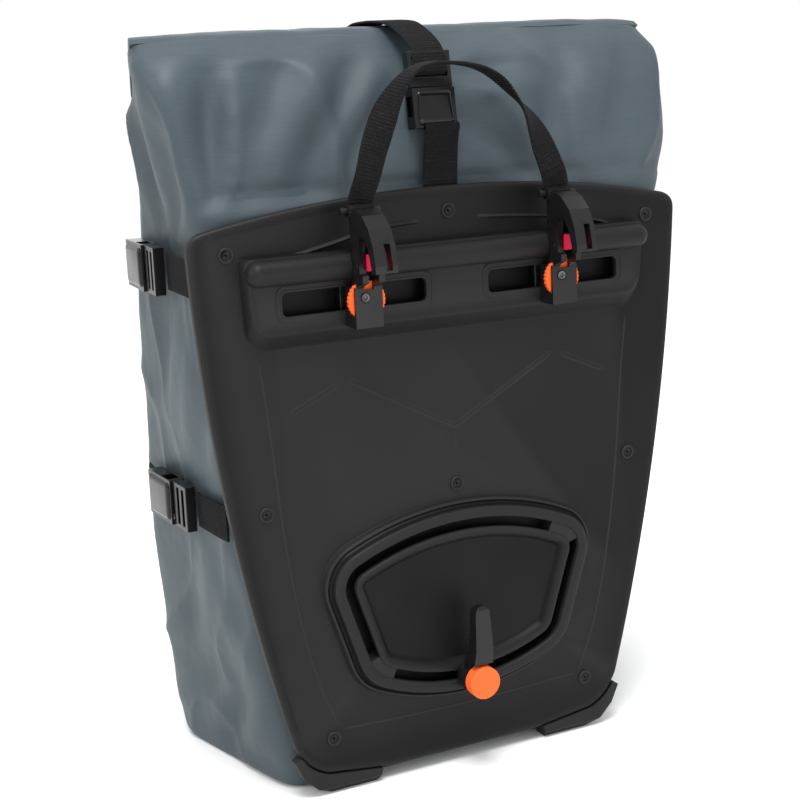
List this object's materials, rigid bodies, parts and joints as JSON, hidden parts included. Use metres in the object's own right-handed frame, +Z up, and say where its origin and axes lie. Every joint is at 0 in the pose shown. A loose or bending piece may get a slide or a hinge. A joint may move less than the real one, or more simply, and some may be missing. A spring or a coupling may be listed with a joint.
{
  "type": "bicycle pannier",
  "caption": "Roll-top fabric pannier on a moulded back plate, with two sliding quick-release rail hooks, a swivelling lower hook and buckled straps.",
  "frame": {"origin": "middle of the bag's flat bottom, on the ground", "axes": "+Z up, -Y out of the face of the back plate (towards the bicycle), +X to the right of someone facing the plate"},
  "size_m": [0.3268, 0.1966, 0.4311],
  "materials": {
    "plate": "moulded, fine satin grain",
    "rivet": "satin",
    "hook": "glass-filled, satin",
    "buckle": "smooth moulded acetal",
    "knob_orange": "satin",
    "catch_red": "translucent red moulding",
    "fabric": "coated woven polyester, slight sheen",
    "webbing": "ribbed woven webbing",
    "steel": "zinc plated"
  },
  "bodies": {
    "root": {"back_plate": "plate", "bag_body": "fabric", "corner_guard_left": "plate", "corner_guard_right": "plate", "rivet_top_left": "rivet", "rivet_top_centre": "rivet", "rivet_top_right": "rivet", "rivet_middle_left": "rivet", "rivet_centre": "rivet", "rivet_middle_right": "rivet", "rivet_bottom_left": "rivet", "rivet_bottom_right": "rivet", "top_buckle_female": "buckle", "plate_strap": "webbing", "anchor_strap": "webbing", "handle_strap": "webbing", "side_upper_left_female": "buckle", "side_upper_left_male": "buckle", "side_upper_left_rear_strap": "webbing", "side_upper_left_front_strap": "webbing", "side_lower_left_female": "buckle", "side_lower_left_male": "buckle", "side_lower_left_rear_strap": "webbing", "side_lower_left_front_strap": "webbing", "side_upper_right_female": "buckle", "side_upper_right_male": "buckle", "side_upper_right_rear_strap": "webbing", "side_upper_right_front_strap": "webbing", "side_lower_right_female": "buckle", "side_lower_right_male": "buckle", "side_lower_right_rear_strap": "webbing", "side_lower_right_front_strap": "webbing"},
    "closure": {"rolled_closure": "fabric", "roll_strap": "webbing", "top_buckle_male": "buckle"},
    "prong_left": {"top_prong_left": "buckle"},
    "prong_right": {"top_prong_right": "buckle"},
    "carriage_left": {"hook_left": "hook", "clamp_nut_left": "steel", "hook_screw_left": "steel", "catch_pin_left": "steel"},
    "release_left": {"release_slide_left": "hook"},
    "catch_left": {"catch_left": "catch_red"},
    "wheel_left": {"thumbwheel_left": "knob_orange"},
    "carriage_right": {"hook_right": "hook", "clamp_nut_right": "steel", "hook_screw_right": "steel", "catch_pin_right": "steel"},
    "release_right": {"release_slide_right": "hook"},
    "catch_right": {"catch_right": "catch_red"},
    "wheel_right": {"thumbwheel_right": "knob_orange"},
    "lower_carrier": {"lower_hook_carrier": "steel"},
    "lower_arm": {"lower_hook_arm": "hook"},
    "lower_knob": {"lower_hook_knob": "knob_orange"}
  },
  "joints": [
    {"name": "closure_lift", "type": "hinge", "parent": "root", "child": "closure", "pos_m": [0, 0.044, 0.392], "axis": [-1, 0, 0], "range_deg": [0, 100]},
    {"name": "prong_left_squeeze", "type": "slide", "parent": "closure", "child": "prong_left", "axis": [1, 0, 0], "range_m": [0, 0.0024], "stiffness_N_per_m": 900},
    {"name": "prong_right_squeeze", "type": "slide", "parent": "closure", "child": "prong_right", "axis": [-1, 0, 0], "range_m": [0, 0.0024], "stiffness_N_per_m": 900},
    {"name": "hook_left_slide", "type": "slide", "parent": "root", "child": "carriage_left", "axis": [1, 0, 0], "range_m": [-0.028, 0.028]},
    {"name": "release_left_pull", "type": "slide", "parent": "carriage_left", "child": "release_left", "axis": [0, 0, 1], "range_m": [0, 0.006], "stiffness_N_per_m": 400, "springref_m": -0.002},
    {"name": "catch_left_turn", "type": "hinge", "parent": "carriage_left", "child": "catch_left", "pos_m": [-0.061, -0.0955, 0.305], "axis": [1, 0, 0], "range_deg": [0, 60]},
    {"name": "wheel_left_turn", "type": "hinge", "parent": "carriage_left", "child": "wheel_left", "pos_m": [-0.061, -0.0855, 0.286], "axis": [0, 1, 0], "continuous": true},
    {"name": "hook_right_slide", "type": "slide", "parent": "root", "child": "carriage_right", "axis": [1, 0, 0], "range_m": [-0.028, 0.028]},
    {"name": "release_right_pull", "type": "slide", "parent": "carriage_right", "child": "release_right", "axis": [0, 0, 1], "range_m": [0, 0.006], "stiffness_N_per_m": 400, "springref_m": -0.002},
    {"name": "catch_right_turn", "type": "hinge", "parent": "carriage_right", "child": "catch_right", "pos_m": [0.061, -0.0955, 0.305], "axis": [1, 0, 0], "range_deg": [0, 60]},
    {"name": "wheel_right_turn", "type": "hinge", "parent": "carriage_right", "child": "wheel_right", "pos_m": [0.061, -0.0855, 0.286], "axis": [0, 1, 0], "continuous": true},
    {"name": "lower_hook_travel", "type": "hinge", "parent": "root", "child": "lower_carrier", "pos_m": [0, -0.084, 0.18], "axis": [0, 1, 0], "range_deg": [-18, 17]},
    {"name": "lower_arm_swivel", "type": "hinge", "parent": "lower_carrier", "child": "lower_arm", "pos_m": [0, -0.09, 0.058], "axis": [0, 1, 0], "range_deg": [-90, 90]},
    {"name": "lower_knob_turn", "type": "hinge", "parent": "lower_carrier", "child": "lower_knob", "pos_m": [0, -0.099, 0.058], "axis": [0, 1, 0], "continuous": true}
  ],
  "couplings": [
    {"joint": "prong_right_squeeze", "follows": "prong_left_squeeze", "ratio": 1},
    {"joint": "release_right_pull", "follows": "release_left_pull", "ratio": 1},
    {"joint": "catch_left_turn", "follows": "release_left_pull", "rad_per_m": 174.5},
    {"joint": "catch_right_turn", "follows": "release_left_pull", "rad_per_m": 174.5}
  ]
}
